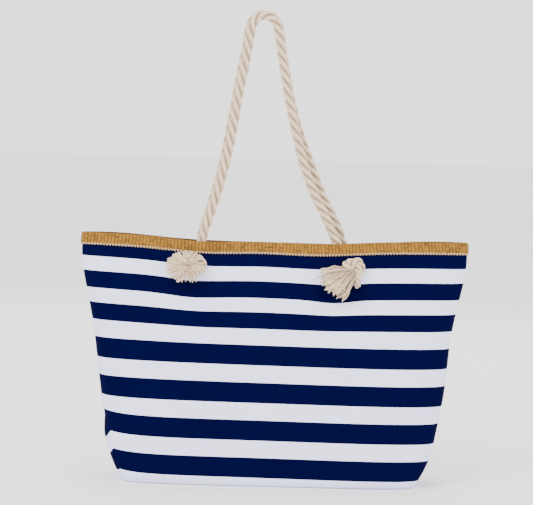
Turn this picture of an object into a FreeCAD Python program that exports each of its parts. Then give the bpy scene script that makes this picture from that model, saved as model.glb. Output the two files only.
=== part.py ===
import FreeCAD, Part

import math
import os

# A canvas beach tote that stands on its boxed base. Millimetres, +Z up. The origin is the middle of
# the base, X runs along the mouth and the front of the bag faces -Y.

V = FreeCAD.Vector
UP = V(0, 0, 1)
ALONG = V(1, 0, 0)

# The bag's outer form
HEIGHT = 350.0
RIM_HALF_WIDTH = 275.0
SIDE_FOOT_HEIGHT = 64.0  # below this the side seams tuck in to the boxed corners
SIDE_FOOT_HALF_WIDTH = 235.0
CORNER_TUCK = 24.0
BASE_HALF_DEPTH = 75.0
RIM_HALF_DEPTH = 23.0
LEAN_POWER = 4.0  # the walls stand nearly upright and lean in near the mouth
BASE_EDGE_RADIUS = 12.0
BASE_EDGE_TUCK = 8.0
RIM_ROUNDNESS = 2.0  # superellipse exponent of the plan: lens at the rim, box at the base
BASE_ROUNDNESS = 5.0
STATIONS = (0, 2, 5, 12, 30, SIDE_FOOT_HEIGHT, 110, 160, 210, 255, 295, 337, HEIGHT)
PLAN_POINTS = 48

BEYOND = 400.0  # farther than the bag reaches from its origin, for the blocks that cut
CUT_MARGIN = 1.0
DRILL_REACH = 10.0

# Layers, measured inwards from the canvas's outer face
CANVAS = 1.2
LINING_OUTER = 1.6
LINING_INNER = 2.2
LINING_TOP = 347.0
BRAID_GAP = 0.3
BRAID_THICKNESS = 2.0
BRAID_HEIGHT = 15.0

# Ropes, eyelets and knots
ROPE_RADIUS = 7.0
HOLE_X = 112.0
HOLE_Z = 309.0
HOLE_RADIUS = 8.75
EYELET_BORE = 7.8
EYELET_WALL = 0.8
FLANGE_RADIUS = 14.0
FLANGE_THICKNESS = 0.9
METAL_GAP = 0.15
CURL_GAP = 0.1
CURL_THICKNESS = 0.8
KNOT_BACK = 1.3  # the knot's flat back stands this far off the canvas
PIVOT_Z = 372.0
PIVOT_Y = 11.0
ROPE_END_Z = 356.0
ROPE_END_Y = 10.5
INNER_BEND_DEPTH = 17.0
ROPE_END_SPREAD = 5.5  # how far outside its pivot each rope end stops
INNER_BEND_SHARE = 0.75  # this sharp bend takes up most of its shorter run
KNOT_RADII = (17.0, 16.0, 14.5)
KNOT_CENTRE = 13.0
KNOT_FRONT = 22.0
POMPOM_RADII = (29.0, 23.0, 12.0)
POMPOM_CENTRE = (17.0, -5.0, 24.0)
TASSEL_WAY = (-0.62, -0.785)
TASSEL_START = 18.5
TASSEL_LENGTH = 40.0
TASSEL_HEIGHT = 16.0  # its middle stands this far off the canvas
TASSEL_RADII = (7.5, 13.0)
HANDLE_LEAN = 0.72  # degrees that each handle leans towards the other one

# Each handle's route in its own plane, as (x, z), from its left pivot to its right one
FRONT_ROUTE = (
    (-98.5, 372), (-87, 408), (-76, 452), (-67, 498), (-61, 546), (-53, 590), (-48.5, 618),
    (-46, 640), (-43, 656), (-33, 667), (-18, 667), (-8, 656), (-4, 640), (-1, 618), (5.5, 585),
    (13, 545), (24, 500), (36, 456), (53, 413), (76, 372),
)
BACK_ROUTE = (
    (-99.5, 372), (-89, 408), (-78, 452), (-70, 498), (-63, 546), (-56, 590), (-50.5, 618),
    (-48, 640), (-45, 657), (-34, 668), (-17, 668), (-6, 657), (-2, 640), (1, 618), (7.5, 585),
    (15.5, 545), (29, 500), (47, 456), (64, 413), (87, 372),
)

# Zips
ZIP_EDGE = 3.2  # from the zip's centre line to each tape's edge
ZIP_GAP = 0.8  # half the gap between the two coils
SEAM_GAP = 0.5  # between two strips that meet edge to edge
STOP_GAP = 0.6
STOP_LENGTH = 2.0
STOP_HALF_WIDTH = 3.0
COIL_GAP = 0.1  # between a coil and its tape
TAPE_WIDTH = 11.0
TAPE_THICKNESS = 0.8
COIL_HEIGHT = 2.4
PLATE_GAP = 1.55
PLATE_THICKNESS = 1.0
SLIDER_HALF_LENGTH = 6.0
SLIDER_HALF_WIDTH = 5.2
SLIDER_FLANGE = 1.0
TAPE_SLOT = 0.9  # half the slot that each tape runs through
NOSE_LENGTH = 3.0
NOSE_HALF_WIDTH = 0.5
LUG_INNER = 1.75
LUG_OUTER = 2.75
LUG_HALF_LENGTH = 2.0
LUG_ABOVE_PIN = 1.5
PIN_HEIGHT = PLATE_GAP + PLATE_THICKNESS + 1.9
PIN_RADIUS = 0.8
PIN_HALF_LENGTH = 2.5
PULL_BORE = 0.88
PULL_BARREL = 1.6
PULL_NECK_HALF_WIDTH = 1.5
PULL_NECK_LENGTH = 5.0
PULL_LENGTH = 26.0
PULL_HALF_WIDTH = 3.0
PULL_TAB_START = 4.0
PULL_HOLE_RADIUS = 1.4
PULL_THICKNESS = 1.2

MAIN_SEWN_Z = 292.0
MAIN_SEWN_GAP = 0.7  # from the lining to the middle of the facing
MAIN_RAIL_STEP = 6.0
FACING_WIDTH = 36.0
MAIN_END_X = 235.0
MAIN_CLOSED_X = 143.0  # the two tapes part here
MAIN_OPEN_X = 50.0  # and hang against the walls from here
MAIN_CHAIN_Z = 268.0
MAIN_CHAIN_DROP = 10.0
MAIN_SLIDER_X = 150.0

POCKET_HALF_WIDTH = 95.0
POCKET_BOTTOM = (70.4, 92.0)  # (y, z) on the back lining
POCKET_TOP = (60.2, 232.0)
POCKET_DEPTH = 118.0
POCKET_STANDOFF = 1.0
POCKET_CHAIN_MARGIN = 3.0  # the teeth end this far short of the tapes
POCKET_SLIDER_X = -82.0
PANEL_THICKNESS = 0.6
SLIP_HALF_WIDTH = 100.0
SLIP_DEPTH = 125.0


def save(name, solids):
    """Writes one sub-part, one or more solids."""
    solids = list(solids)
    shape = solids[0] if len(solids) == 1 else Part.makeCompound(solids)
    for solid in shape.Solids:
        if not solid.isValid():
            print("NOT VALID", name)
    print(f"{name}: {len(shape.Solids)} solid(s), {sum(s.Volume for s in shape.Solids):.0f} mm3")
    shape.exportStep(f"parts/{name}.step")


def placed(shape, frame):
    """The shape moved into a frame."""
    shape.transformShape(frame.toMatrix())
    return shape


# --- The bag's form -------------------------------------------------------------------------


def half_width(z):
    """Half the bag's width at height z, along the side seams."""
    flare = (RIM_HALF_WIDTH - SIDE_FOOT_HALF_WIDTH) / (HEIGHT - SIDE_FOOT_HEIGHT)
    if z >= SIDE_FOOT_HEIGHT:
        return SIDE_FOOT_HALF_WIDTH + flare * (z - SIDE_FOOT_HEIGHT)
    return SIDE_FOOT_HALF_WIDTH - CORNER_TUCK * (1 - z / SIDE_FOOT_HEIGHT) ** 1.5


def half_depth(z):
    """Half the bag's depth at height z, in the middle."""
    swell = 1 - (z / HEIGHT) ** LEAN_POWER
    depth = RIM_HALF_DEPTH + (BASE_HALF_DEPTH - RIM_HALF_DEPTH) * swell
    if z < BASE_EDGE_RADIUS:
        depth -= BASE_EDGE_TUCK * (1 - z / BASE_EDGE_RADIUS) ** 2
    return depth


def roundness(z):
    """The plan's superellipse exponent at height z."""
    return RIM_ROUNDNESS + (BASE_ROUNDNESS - RIM_ROUNDNESS) * max(0.0, 1 - z / HEIGHT) ** 1.5


def plan(z, inset):
    """The closed outline of the bag at height z, moved in by inset."""
    a = half_width(z) - inset
    b = half_depth(z) - inset
    n = roundness(z)
    points = []
    for i in range(PLAN_POINTS):
        turn = 2 * math.pi * i / PLAN_POINTS
        c, s = math.cos(turn), math.sin(turn)
        reach = (abs(c) ** n + abs(s) ** n) ** (-1 / n)
        points.append(V(a * reach * c, b * reach * s, z))
    curve = Part.BSplineCurve()
    curve.interpolate(points, PeriodicFlag=True)
    return Part.Wire([curve.toShape()])


def form(inset, bottom, top):
    """The solid inside the bag's outline moved in by inset, between two heights."""
    levels = [bottom] + [z for z in STATIONS if bottom + 0.5 < z < top - 0.5] + [top]
    return Part.makeLoft([plan(z, inset) for z in levels], True, True)


def block(x0, x1, y0, y1, z0, z1):
    """A box between two corners."""
    return Part.makeBox(x1 - x0, y1 - y0, z1 - z0, V(x0, y0, z0))


def half_space(side):
    """A block that holds the front half of the bag for side -1, or the back half for side 1."""
    y0, y1 = sorted((0, side * BEYOND))
    return block(-BEYOND, BEYOND, y0, y1, -BEYOND, BEYOND)


def wall_y(solid, side, x, z):
    """Where the solid's outside is at x, z on one side."""
    probe = Part.makeLine(V(x, 0, z), V(x, side * BEYOND, z))
    reach = [v.Point.y for v in solid.common(probe).Vertexes]
    return max(reach) if side > 0 else min(reach)


def eyelet_frame(body, side, x):
    """The placement of the eyelet at x: its own +Z runs out of the canvas."""
    step = 4.0
    at = V(x, wall_y(body, side, x, HOLE_Z), HOLE_Z)
    above = V(x, wall_y(body, side, x, HOLE_Z + step), HOLE_Z + step)
    below = V(x, wall_y(body, side, x, HOLE_Z - step), HOLE_Z - step)
    ahead = V(x + step, wall_y(body, side, x + step, HOLE_Z), HOLE_Z)
    behind = V(x - step, wall_y(body, side, x - step, HOLE_Z), HOLE_Z)
    up = (above - below).normalize()
    across = (ahead - behind).normalize()
    out = across.cross(up).normalize()
    if out.y * side < 0:
        out = -out
    across = up.cross(out).normalize()
    return FreeCAD.Placement(at, FreeCAD.Rotation(across, up, out, "ZXY"))


def shell_panels(body, inset, thickness, top, frames):
    """The front and back halves of one layer, with its eyelet holes."""
    cavity = form(inset + thickness, inset + thickness, HEIGHT + CUT_MARGIN)
    outer = form(inset, inset, top) if inset else body
    layer = outer.cut(cavity)
    halves = {}
    for side in (-1, 1):
        half = layer.common(half_space(side))
        for x in (-HOLE_X, HOLE_X):
            drill = Part.makeCylinder(HOLE_RADIUS, 2 * DRILL_REACH, V(0, 0, -DRILL_REACH))
            half = half.cut(placed(drill, frames[side, x]))
        halves[side] = half
    return halves


def rim_braid():
    """The straw braid round the outside of the rim."""
    foot = HEIGHT - BRAID_HEIGHT
    outer = form(-BRAID_GAP - BRAID_THICKNESS, foot, HEIGHT)
    inner = form(-BRAID_GAP, foot - CUT_MARGIN, HEIGHT + CUT_MARGIN)
    return outer.cut(inner)


# --- Eyelets, rope and knots ----------------------------------------------------------------


def ring(inner, outer, low, high):
    """A flat ring about the local Z axis."""
    disc = Part.makeCylinder(outer, high - low, V(0, 0, low))
    return disc.cut(Part.makeCylinder(inner, high - low, V(0, 0, low)))


def eyelet():
    """The flanged barrel that passes through the canvas and lining."""
    wall = LINING_INNER + 2 * METAL_GAP + FLANGE_THICKNESS
    outer_face = METAL_GAP + FLANGE_THICKNESS
    curl_face = -wall - CURL_GAP
    curl_end = curl_face - CURL_THICKNESS
    barrel = ring(EYELET_BORE, EYELET_BORE + EYELET_WALL, curl_end + CURL_THICKNESS / 2, outer_face)
    flange = ring(EYELET_BORE, FLANGE_RADIUS, METAL_GAP, outer_face)
    curl = ring(EYELET_BORE, EYELET_BORE + 2 * EYELET_WALL, curl_end, curl_face)
    return barrel.fuse([flange, curl]).removeSplitter()


def eyelet_washer():
    """The washer that the barrel is rolled over, inside the bag."""
    face = -LINING_INNER - METAL_GAP
    return ring(HOLE_RADIUS, FLANGE_RADIUS, face - FLANGE_THICKNESS, face)


def tube_path(points, share):
    """Straight runs joined by tangent arcs that each take a share of the shorter run."""
    edges = []
    radii = []
    start = points[0]
    for before, corner, after in zip(points, points[1:], points[2:]):
        arrive = (corner - before).normalize()
        leave = (after - corner).normalize()
        shorter = min((corner - before).Length, (after - corner).Length)
        turn = arrive.getAngle(leave)
        radius = share * shorter / math.tan(turn / 2)
        cut = radius * math.tan(turn / 2)
        first = corner - arrive * cut
        last = corner + leave * cut
        towards = (leave - arrive).normalize()
        centre = corner + towards * (radius / math.cos(turn / 2))
        middle = centre - towards * radius
        edges.append(Part.LineSegment(start, first).toShape())
        edges.append(Part.Arc(first, middle, last).toShape())
        radii.append(round(radius, 1))
        start = last
    edges.append(Part.LineSegment(start, points[-1]).toShape())
    return Part.Wire(edges), radii


def tube(points, radius, name, share=0.45):
    """A round tube along a route."""
    path, radii = tube_path(points, share)
    heading = (points[1] - points[0]).normalize()
    profile = Part.Wire([Part.Circle(points[0], heading, radius).toShape()])
    solid = path.makePipeShell([profile], True, True)
    expected = math.pi * radius ** 2 * path.Length
    share = solid.Volume / expected
    print(f"{name}: length {path.Length:.1f}, volume share {share:.3f}, bend radii {radii}")
    return solid


def handle(route, side):
    """One rope handle, standing on its two pivots. side is -1 for the front one."""
    points = [V(x, 0, z - PIVOT_Z) for x, z in route]
    name = "front_handle" if side < 0 else "back_handle"
    rope = tube(points, ROPE_RADIUS, name)
    rope = rope.fuse([Part.makeSphere(ROPE_RADIUS, points[0]), Part.makeSphere(ROPE_RADIUS, points[-1])])
    rope.rotate(V(0, 0, 0), ALONG, side * HANDLE_LEAN)
    rope.translate(V(0, side * PIVOT_Y, PIVOT_Z))
    return rope


def rope_end(frame, side, pivot_x):
    """The rope from its knot, in through the eyelet and up inside the rim."""
    outside = frame.multVec(V(0, 0, KNOT_BACK))
    bend = frame.multVec(V(0, 0, -INNER_BEND_DEPTH))
    top = V(pivot_x + math.copysign(ROPE_END_SPREAD, bend.x), side * ROPE_END_Y, ROPE_END_Z)
    rope = tube([outside, bend, top], ROPE_RADIUS, "rope_end", INNER_BEND_SHARE)
    return rope.fuse(Part.makeSphere(ROPE_RADIUS, top))


def ellipsoid(centre, radii):
    """A closed ellipsoid."""
    ball = Part.makeSphere(1.0)
    scale = FreeCAD.Matrix()
    scale.scale(V(*radii))
    ball = ball.transformGeometry(scale)
    ball.translate(centre)
    return ball


def knot(opens):
    """The overhand knot that holds the rope, flat where it meets the eyelet and an opened end."""
    body = ellipsoid(V(0, 0, KNOT_CENTRE), KNOT_RADII)
    front = KNOT_FRONT if opens else 2 * KNOT_FRONT
    return body.common(block(-BEYOND, BEYOND, -BEYOND, BEYOND, KNOT_BACK, front))


def pompom(way):
    """A frayed end that opens like a flower in front of its knot, off to one side."""
    x, y, z = POMPOM_CENTRE
    body = ellipsoid(V(way * x, y, z), POMPOM_RADII)
    return body.common(block(-BEYOND, BEYOND, -BEYOND, BEYOND, KNOT_FRONT, BEYOND))


def tassel(way):
    """A frayed end that hangs beside its knot."""
    x, y = TASSEL_WAY
    heading = V(way * x, y, 0)
    start = heading * TASSEL_START + V(0, 0, TASSEL_HEIGHT)
    return Part.makeCone(TASSEL_RADII[0], TASSEL_RADII[1], TASSEL_LENGTH, start, heading)


# --- Zips -----------------------------------------------------------------------------------


def spline_edge(points):
    curve = Part.BSplineCurve()
    curve.interpolate(points)
    return curve.toShape()


def ribbon(first, second, low, high):
    """A strip between two edge lines. It fills the stretch from low to high along its normal."""
    rails = {("a", low): [], ("b", low): [], ("a", high): [], ("b", high): []}
    count = len(first)
    for i, (a, b) in enumerate(zip(first, second)):
        tangent = first[min(i + 1, count - 1)] - first[max(i - 1, 0)]
        tangent += second[min(i + 1, count - 1)] - second[max(i - 1, 0)]
        normal = tangent.cross(b - a).normalize()
        for height in (low, high):
            rails["a", height].append(a + normal * height)
            rails["b", height].append(b + normal * height)
    corners = [("a", low), ("b", low), ("b", high), ("a", high)]
    edges = [spline_edge(rails[corner]) for corner in corners]
    faces = [Part.makeRuledSurface(edges[i], edges[(i + 1) % 4], 1) for i in range(4)]
    for end in (0, -1):
        loop = [rails[corner][end] for corner in corners]
        sides = [Part.makeLine(loop[0], loop[1]), Part.makeLine(loop[3], loop[2])]
        faces.append(Part.makeRuledSurface(*sides, 1))
    shell = Part.makeShell(faces)
    shell.sewShape()
    solid = Part.Solid(shell)
    return solid if solid.Volume > 0 else solid.reversed()


def main_zip_rails(lining, side):
    """The sewn line, tape edge and free edge of one side of the main zip."""
    sewn, tape, free = [], [], []
    count = int(2 * MAIN_END_X / MAIN_RAIL_STEP)
    for i in range(count + 1):
        x = -MAIN_END_X + 2 * MAIN_END_X * i / count
        wall = abs(wall_y(lining, side, x, MAIN_SEWN_Z)) - MAIN_SEWN_GAP
        opened = min(1.0, max(0.0, (MAIN_CLOSED_X - x) / (MAIN_CLOSED_X - MAIN_OPEN_X)))
        opened = opened * opened * (3 - 2 * opened)
        chain_z = MAIN_CHAIN_Z - MAIN_CHAIN_DROP * (x - MAIN_CLOSED_X) / (MAIN_END_X - MAIN_CLOSED_X)
        if opened > 0:
            chain_z = MAIN_CHAIN_Z + (MAIN_SEWN_Z - FACING_WIDTH - MAIN_CHAIN_Z) * opened
            run = (MAIN_CLOSED_X - x) * (1 - opened)
            chain_z += MAIN_CHAIN_DROP * run / (MAIN_END_X - MAIN_CLOSED_X)
        closed_y = ZIP_EDGE + TAPE_WIDTH
        tape_y = closed_y + (wall - closed_y) * opened
        free_y = tape_y - TAPE_WIDTH * math.cos(opened * math.pi / 2)
        free_z = chain_z - TAPE_WIDTH * math.sin(opened * math.pi / 2)
        sewn.append(V(x, side * wall, MAIN_SEWN_Z))
        tape.append(V(x, side * tape_y, chain_z))
        free.append(V(x, side * free_y, free_z))
    return sewn, tape, free


def shifted(points, towards, distance):
    """Each point moved by a distance along the line to its partner."""
    return [a + (b - a).normalize() * distance for a, b in zip(points, towards)]


def main_zip_side(lining, side):
    """The facing, tape and coil on one side of the main zip."""
    sewn, tape, free = main_zip_rails(lining, side)
    half = TAPE_THICKNESS / 2
    facing = ribbon(sewn, shifted(tape, sewn, SEAM_GAP), -PANEL_THICKNESS / 2, PANEL_THICKNESS / 2)
    strip = ribbon(tape, free, -half, half)
    coil_out = shifted(free, tape, -COIL_GAP)
    coil_in = shifted(free, tape, ZIP_GAP - ZIP_EDGE)
    coil = ribbon(coil_out, coil_in, -COIL_HEIGHT / 2, COIL_HEIGHT / 2)
    return facing, strip, coil


def zip_slider():
    """The slider, in its own frame: +X runs along the closed teeth and +Z out of its top plate."""
    length, width = SLIDER_HALF_LENGTH, SLIDER_HALF_WIDTH
    top = PLATE_GAP + PLATE_THICKNESS
    pieces = []
    for low, high in ((PLATE_GAP, top), (-top, -PLATE_GAP)):
        pieces.append(block(-length, length, -width, width, low, high))
    for side in (-1, 1):
        y0, y1 = sorted((side * (width - SLIDER_FLANGE), side * width))
        pieces.append(block(-length, length, y0, y1, TAPE_SLOT, PLATE_GAP))
        pieces.append(block(-length, length, y0, y1, -PLATE_GAP, -TAPE_SLOT))
        y0, y1 = sorted((side * LUG_INNER, side * LUG_OUTER))
        pieces.append(block(-LUG_HALF_LENGTH, LUG_HALF_LENGTH, y0, y1, top, PIN_HEIGHT + LUG_ABOVE_PIN))
    nose_end = -length + NOSE_LENGTH
    pieces.append(block(-length, nose_end, -NOSE_HALF_WIDTH, NOSE_HALF_WIDTH, -PLATE_GAP, PLATE_GAP))
    pieces.append(cross_pin(PIN_RADIUS, PIN_HALF_LENGTH))
    return pieces[0].fuse(pieces[1:]).removeSplitter()


def cross_pin(radius, half_length):
    """A cylinder on the pull's pin, across the slider."""
    return Part.makeCylinder(radius, 2 * half_length, V(0, -half_length, PIN_HEIGHT), V(0, 1, 0))


def zip_pull():
    """The pull, in the slider's frame: it lies back along -X."""
    half = PULL_THICKNESS / 2
    low, high = PIN_HEIGHT - half, PIN_HEIGHT + half
    tab_end = -PULL_LENGTH + PULL_HALF_WIDTH
    barrel = cross_pin(PULL_BARREL, PULL_NECK_HALF_WIDTH)
    neck = block(-PULL_NECK_LENGTH, 0, -PULL_NECK_HALF_WIDTH, PULL_NECK_HALF_WIDTH, low, high)
    tab = block(tab_end, -PULL_TAB_START, -PULL_HALF_WIDTH, PULL_HALF_WIDTH, low, high)
    tip = Part.makeCylinder(PULL_HALF_WIDTH, PULL_THICKNESS, V(tab_end, 0, low))
    hole = Part.makeCylinder(PULL_HOLE_RADIUS, PULL_THICKNESS, V(tab_end, 0, low))
    body = barrel.fuse([neck, tab, tip]).removeSplitter()
    return body.cut(hole).cut(cross_pin(PULL_BORE, PIN_HALF_LENGTH))


def slider_frame(origin, along, out):
    """A placement with +X along the teeth and +Z out of the slider's top plate."""
    return FreeCAD.Placement(origin, FreeCAD.Rotation(along, out.cross(along), out, "XZY"))


def main_slider_frame():
    run = MAIN_END_X - MAIN_CLOSED_X
    along = V(run, 0, -MAIN_CHAIN_DROP).normalize()
    z = MAIN_CHAIN_Z - MAIN_CHAIN_DROP * (MAIN_SLIDER_X - MAIN_CLOSED_X) / run
    return slider_frame(V(MAIN_SLIDER_X, 0, z), along, along.cross(V(0, 1, 0)))


def main_zip_stops(lining):
    """One stop that ties both coils at the closed end, and one at the open end of each tape."""
    half = COIL_HEIGHT / 2
    frame = main_slider_frame()
    reach = (MAIN_END_X - MAIN_SLIDER_X) / abs(frame.Rotation.multVec(ALONG).x)
    start = reach + STOP_GAP
    stops = [placed(block(start, start + STOP_LENGTH, -ZIP_EDGE, ZIP_EDGE, -half, half), frame)]
    for side in (-1, 1):
        end = main_zip_rails(lining, side)[2][0]
        x = end.x - STOP_GAP
        stops.append(block(x - STOP_LENGTH, x, end.y - half, end.y + half, end.z - COIL_HEIGHT, end.z))
    return stops


def pocket_frame(side):
    """A flat frame on the lining: +X along the bag, +Y up the wall, +Z into the bag."""
    low = V(0, side * POCKET_BOTTOM[0], POCKET_BOTTOM[1])
    high = V(0, side * POCKET_TOP[0], POCKET_TOP[1])
    up = (high - low).normalize()
    along = ALONG if side > 0 else -ALONG
    return FreeCAD.Placement(low, FreeCAD.Rotation(along, up, along.cross(up), "ZXY"))


def pocket_zip():
    """The inner zip pocket's flat pieces, in the pocket's frame."""
    w = POCKET_HALF_WIDTH
    chain = w - POCKET_CHAIN_MARGIN
    low, high = POCKET_STANDOFF, POCKET_STANDOFF + PANEL_THICKNESS
    middle = POCKET_STANDOFF + COIL_HEIGHT / 2
    half_tape, half_coil = TAPE_THICKNESS / 2, COIL_HEIGHT / 2
    tape_low = POCKET_DEPTH + SEAM_GAP
    centre = tape_low + TAPE_WIDTH + ZIP_EDGE
    pieces = {"zip_pocket_panel": [block(-w, w, 0, POCKET_DEPTH, low, high)]}
    for name, sign in (("lower", -1), ("upper", 1)):
        near, far = centre + sign * ZIP_EDGE, centre + sign * (ZIP_EDGE + TAPE_WIDTH)
        y0, y1 = sorted((near, far))
        tape = block(-w, w, y0, y1, middle - half_tape, middle + half_tape)
        y0, y1 = sorted((centre + sign * ZIP_GAP, centre + sign * (ZIP_EDGE - COIL_GAP)))
        coil = block(-chain, chain, y0, y1, middle - half_coil, middle + half_coil)
        pieces[f"pocket_zip_tape_{name}"] = [tape]
        pieces[f"pocket_zip_coil_{name}"] = [coil]
    stops = []
    stop_y = (centre - STOP_HALF_WIDTH, centre + STOP_HALF_WIDTH)
    for sign in (-1, 1):
        start = sign * (chain + STOP_GAP)
        x0, x1 = sorted((start, start + sign * STOP_LENGTH))
        stops.append(block(x0, x1, *stop_y, middle - half_coil, middle + half_coil))
    pieces["pocket_zip_stops"] = stops
    return pieces, centre, middle


def save_side(side, name, route, canvas, lining, lining_form, frames):
    """Every piece of the front or the back of the bag."""
    places = [frames[side, x] for x in (-HOLE_X, HOLE_X)]
    save(f"{name}_panel", [canvas[side]])
    save(f"{name}_lining", [lining[side]])
    save(f"{name}_eyelets", [placed(eyelet(), place) for place in places])
    save(f"{name}_eyelet_washers", [placed(eyelet_washer(), place) for place in places])
    save(f"{name}_handle", [handle(route, side)])
    hands = (("left", -1, route[0][0]), ("right", 1, route[-1][0]))
    for place, (hand, way, pivot_x) in zip(places, hands):
        save(f"{name}_{hand}_rope_end", [rope_end(place, side, pivot_x)])
        opens = way == side
        local_way = way * place.Rotation.multVec(ALONG).x
        local_way = math.copysign(1, local_way)
        fray = pompom(local_way) if opens else tassel(local_way)
        save(f"{name}_{hand}_knot", [placed(knot(opens), place)])
        save(f"{name}_{hand}_fray", [placed(fray, place)])
    facing, tape, coil = main_zip_side(lining_form, side)
    save(f"main_zip_facing_{name}", [facing])
    save(f"main_zip_tape_{name}", [tape])
    save(f"main_zip_coil_{name}", [coil])


def save_slider(name, place):
    """A zip's slider and pull, and where they move."""
    save(f"{name}_slider", [placed(zip_slider(), place)])
    save(f"{name}_pull", [placed(zip_pull(), place)])
    pin = place.multVec(V(0, 0, PIN_HEIGHT))
    print(name, "slides along", place.Rotation.multVec(ALONG))
    print(name, "pull turns at", pin, "about", place.Rotation.multVec(V(0, 1, 0)))


def main():
    os.makedirs("parts", exist_ok=True)
    body = form(0, 0, HEIGHT)
    lining_form = form(LINING_INNER, LINING_INNER, HEIGHT)
    frames = {(side, x): eyelet_frame(body, side, x) for side in (-1, 1) for x in (-HOLE_X, HOLE_X)}
    canvas = shell_panels(body, 0, CANVAS, HEIGHT, frames)
    lining = shell_panels(body, LINING_OUTER, LINING_INNER - LINING_OUTER, LINING_TOP, frames)

    save("rim_braid", [rim_braid()])
    for side, name, route in ((-1, "front", FRONT_ROUTE), (1, "back", BACK_ROUTE)):
        save_side(side, name, route, canvas, lining, lining_form, frames)
    save("main_zip_stops", main_zip_stops(lining_form))
    save_slider("main_zip", main_slider_frame())

    pieces, centre, middle = pocket_zip()
    frame = pocket_frame(1)
    for name, solids in pieces.items():
        save(name, [placed(solid, frame) for solid in solids])
    origin = frame.multVec(V(POCKET_SLIDER_X, centre, middle))
    save_slider("pocket_zip", slider_frame(origin, ALONG, frame.Rotation.multVec(UP)))

    low, high = POCKET_STANDOFF, POCKET_STANDOFF + PANEL_THICKNESS
    slip = block(-SLIP_HALF_WIDTH, SLIP_HALF_WIDTH, 0, SLIP_DEPTH, low, high)
    save("slip_pocket", [placed(slip, pocket_frame(-1))])


main()
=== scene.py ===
import math

import bpy
import numpy as np
from mathutils import Matrix, Vector


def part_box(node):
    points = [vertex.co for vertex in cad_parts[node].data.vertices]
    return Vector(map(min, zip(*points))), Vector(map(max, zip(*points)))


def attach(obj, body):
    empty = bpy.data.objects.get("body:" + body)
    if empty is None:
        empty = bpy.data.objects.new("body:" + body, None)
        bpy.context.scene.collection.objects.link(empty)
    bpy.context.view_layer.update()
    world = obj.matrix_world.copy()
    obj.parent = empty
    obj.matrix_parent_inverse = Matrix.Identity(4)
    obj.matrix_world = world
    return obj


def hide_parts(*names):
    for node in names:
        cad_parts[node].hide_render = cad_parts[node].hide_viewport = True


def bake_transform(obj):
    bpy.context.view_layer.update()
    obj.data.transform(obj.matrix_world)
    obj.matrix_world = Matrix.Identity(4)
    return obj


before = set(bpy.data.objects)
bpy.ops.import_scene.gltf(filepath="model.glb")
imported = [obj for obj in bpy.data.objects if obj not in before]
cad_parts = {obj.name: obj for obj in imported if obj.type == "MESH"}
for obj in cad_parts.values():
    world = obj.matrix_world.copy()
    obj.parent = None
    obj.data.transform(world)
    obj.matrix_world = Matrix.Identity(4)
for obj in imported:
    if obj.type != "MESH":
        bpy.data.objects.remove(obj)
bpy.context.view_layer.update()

# A striped canvas beach tote: cloth shells, a plaited straw rim, twisted rope handles with knots and
# frayed ends, and the zips and pockets inside. Metres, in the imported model's own frame.

MM = 0.001

# The bag's form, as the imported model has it
PANEL_LOW, PANEL_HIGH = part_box("front_panel")
HEIGHT = PANEL_HIGH[2]
RIM_HALF_WIDTH = PANEL_HIGH[0]
BASE_HALF_DEPTH = -PANEL_LOW[1]
RIM_HALF_DEPTH = 23 * MM
SIDE_FOOT_HEIGHT = 64 * MM
SIDE_FOOT_HALF_WIDTH = 235 * MM
CORNER_TUCK = 24 * MM
SIDE_SWELL = 6 * MM  # the sides bulge a little below the rim
SWELL_FOOT = 195 * MM
SEAM_TUCK = 1.0 * MM
LEAN_POWER = 4.0
BASE_EDGE_RADIUS = 12 * MM
BASE_EDGE_TUCK = 8 * MM
RIM_ROUNDNESS = 2.0
BASE_ROUNDNESS = 5.0
LINING_INSET = 1.8 * MM
HOLE_X = 112 * MM
HOLE_Z = 309 * MM
HOLE_CUT = 8.2 * MM

# Woven bands: their edges lie closer together up the leaning part of the wall
TOP_EDGE = 315.7 * MM
UPPER_BAND = 22.3 * MM
LOWER_BAND = 26.65 * MM
UPPER_EDGES = 4
BAND_TILT = 0.008
WHITE_HALF_BAND = 0.46  # in bands: the white ones are slightly narrower than the navy ones

BRAID_HEIGHT = 15 * MM
ROPE_RADIUS = 7 * MM
LAY = 52 * MM
PIVOT_Z = 372 * MM
PIVOT_Y = 11 * MM


# --- The bag's surface ----------------------------------------------------------------------

# How the cloth hangs, in millimetres. A sag is (depth, across, half width), and a dip or a fold
# (size, across, half width, up, half height, slant)
FRONT_SAGS = ((7.5, -100, 82), (6.5, 58, 90))
FRONT_DIPS = ((4.0, 84, 30, 275, 24, 0.0), (2.5, -120, 34, 280, 26, 0.0))
FRONT_FOLDS = (
    (3.0, -70, 16, 262, 45, 0.45),
    (-3.2, 66, 15, 268, 40, -0.5),
    (2.6, 172, 26, 290, 55, 0.0),
    (-2.8, -190, 24, 300, 60, 0.0),
)
BACK_SAG = (9.8, 185)
BACK_FOLDS = ((2.6, -40, 18, 262, 45, -0.4),)
SAG_FOOT = 200 * MM  # the cloth hangs straight below this height
SLANT_LEVEL = 300 * MM
SIDE_FACE = 0.9  # the share of the half width where a side face starts


def half_width(z):
    flare = (RIM_HALF_WIDTH - SIDE_FOOT_HALF_WIDTH) / (HEIGHT - SIDE_FOOT_HEIGHT)
    upper = SIDE_FOOT_HALF_WIDTH + flare * (z - SIDE_FOOT_HEIGHT)
    risen = np.clip((z - SWELL_FOOT) / (HEIGHT - SWELL_FOOT), 0, 1)
    upper = upper + SIDE_SWELL * np.sin(math.pi * risen ** 2)
    below = np.clip(1 - z / SIDE_FOOT_HEIGHT, 0, 1)
    return np.where(z >= SIDE_FOOT_HEIGHT, upper, SIDE_FOOT_HALF_WIDTH - CORNER_TUCK * below ** 1.5)


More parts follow.
